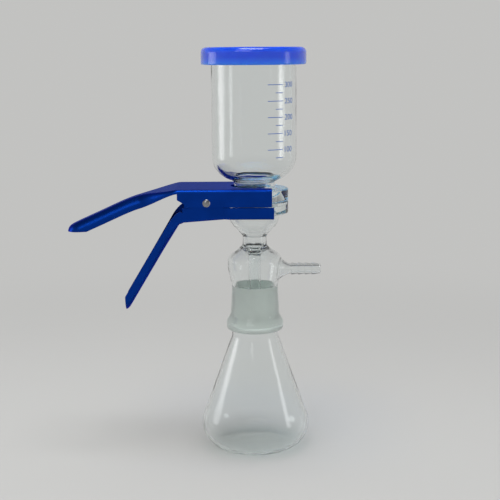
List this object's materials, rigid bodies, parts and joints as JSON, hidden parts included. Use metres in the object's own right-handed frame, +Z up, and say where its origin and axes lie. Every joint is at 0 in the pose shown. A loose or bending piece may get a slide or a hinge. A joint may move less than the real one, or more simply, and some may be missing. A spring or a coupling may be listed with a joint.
{
  "type": "vacuum filtration unit",
  "caption": "Glass vacuum filtration unit: lidded funnel cup clamped on a filter base with a hose barb, standing in the ground joint of a conical receiving flask.",
  "frame": {"origin": "centre of the receiving flask's flat base, on the surface that it stands on", "axes": "+Z up along the axis of the glass, +X towards the hose barb, -X towards the clamp's handles"},
  "size_m": [0.2247, 0.0972, 0.3597],
  "materials": {
    "clear_glass": "clear borosilicate glass, fire polished",
    "sintered_glass": "white sintered glass, coarse",
    "blue_silicone": "glossy translucent silicone",
    "blue_anodised": "bright blue anodised sheet",
    "bright_steel": "bright drawn steel",
    "scale_enamel": "pale blue enamel of the printed scale, fired on"
  },
  "bodies": {
    "unit": {"receiving_flask": "clear_glass", "filter_base": "clear_glass", "fritted_disc": "sintered_glass", "funnel_cup": "clear_glass", "funnel_lid": "blue_silicone", "clamp_upper_lever": "blue_anodised", "clamp_pivot_pin": "bright_steel", "clamp_spring": "bright_steel"},
    "lower_lever": {"clamp_lower_lever": "blue_anodised"}
  },
  "joints": [
    {"name": "clamp_hinge", "type": "hinge", "parent": "unit", "child": "lower_lever", "pos_m": [-0.0413, 0, 0.22794], "axis": [0, 1, 0], "range_deg": [0, 32], "stiffness_Nm_per_rad": 0.8, "springref_deg": -68.75, "deforming": ["clamp_spring"]}
  ]
}
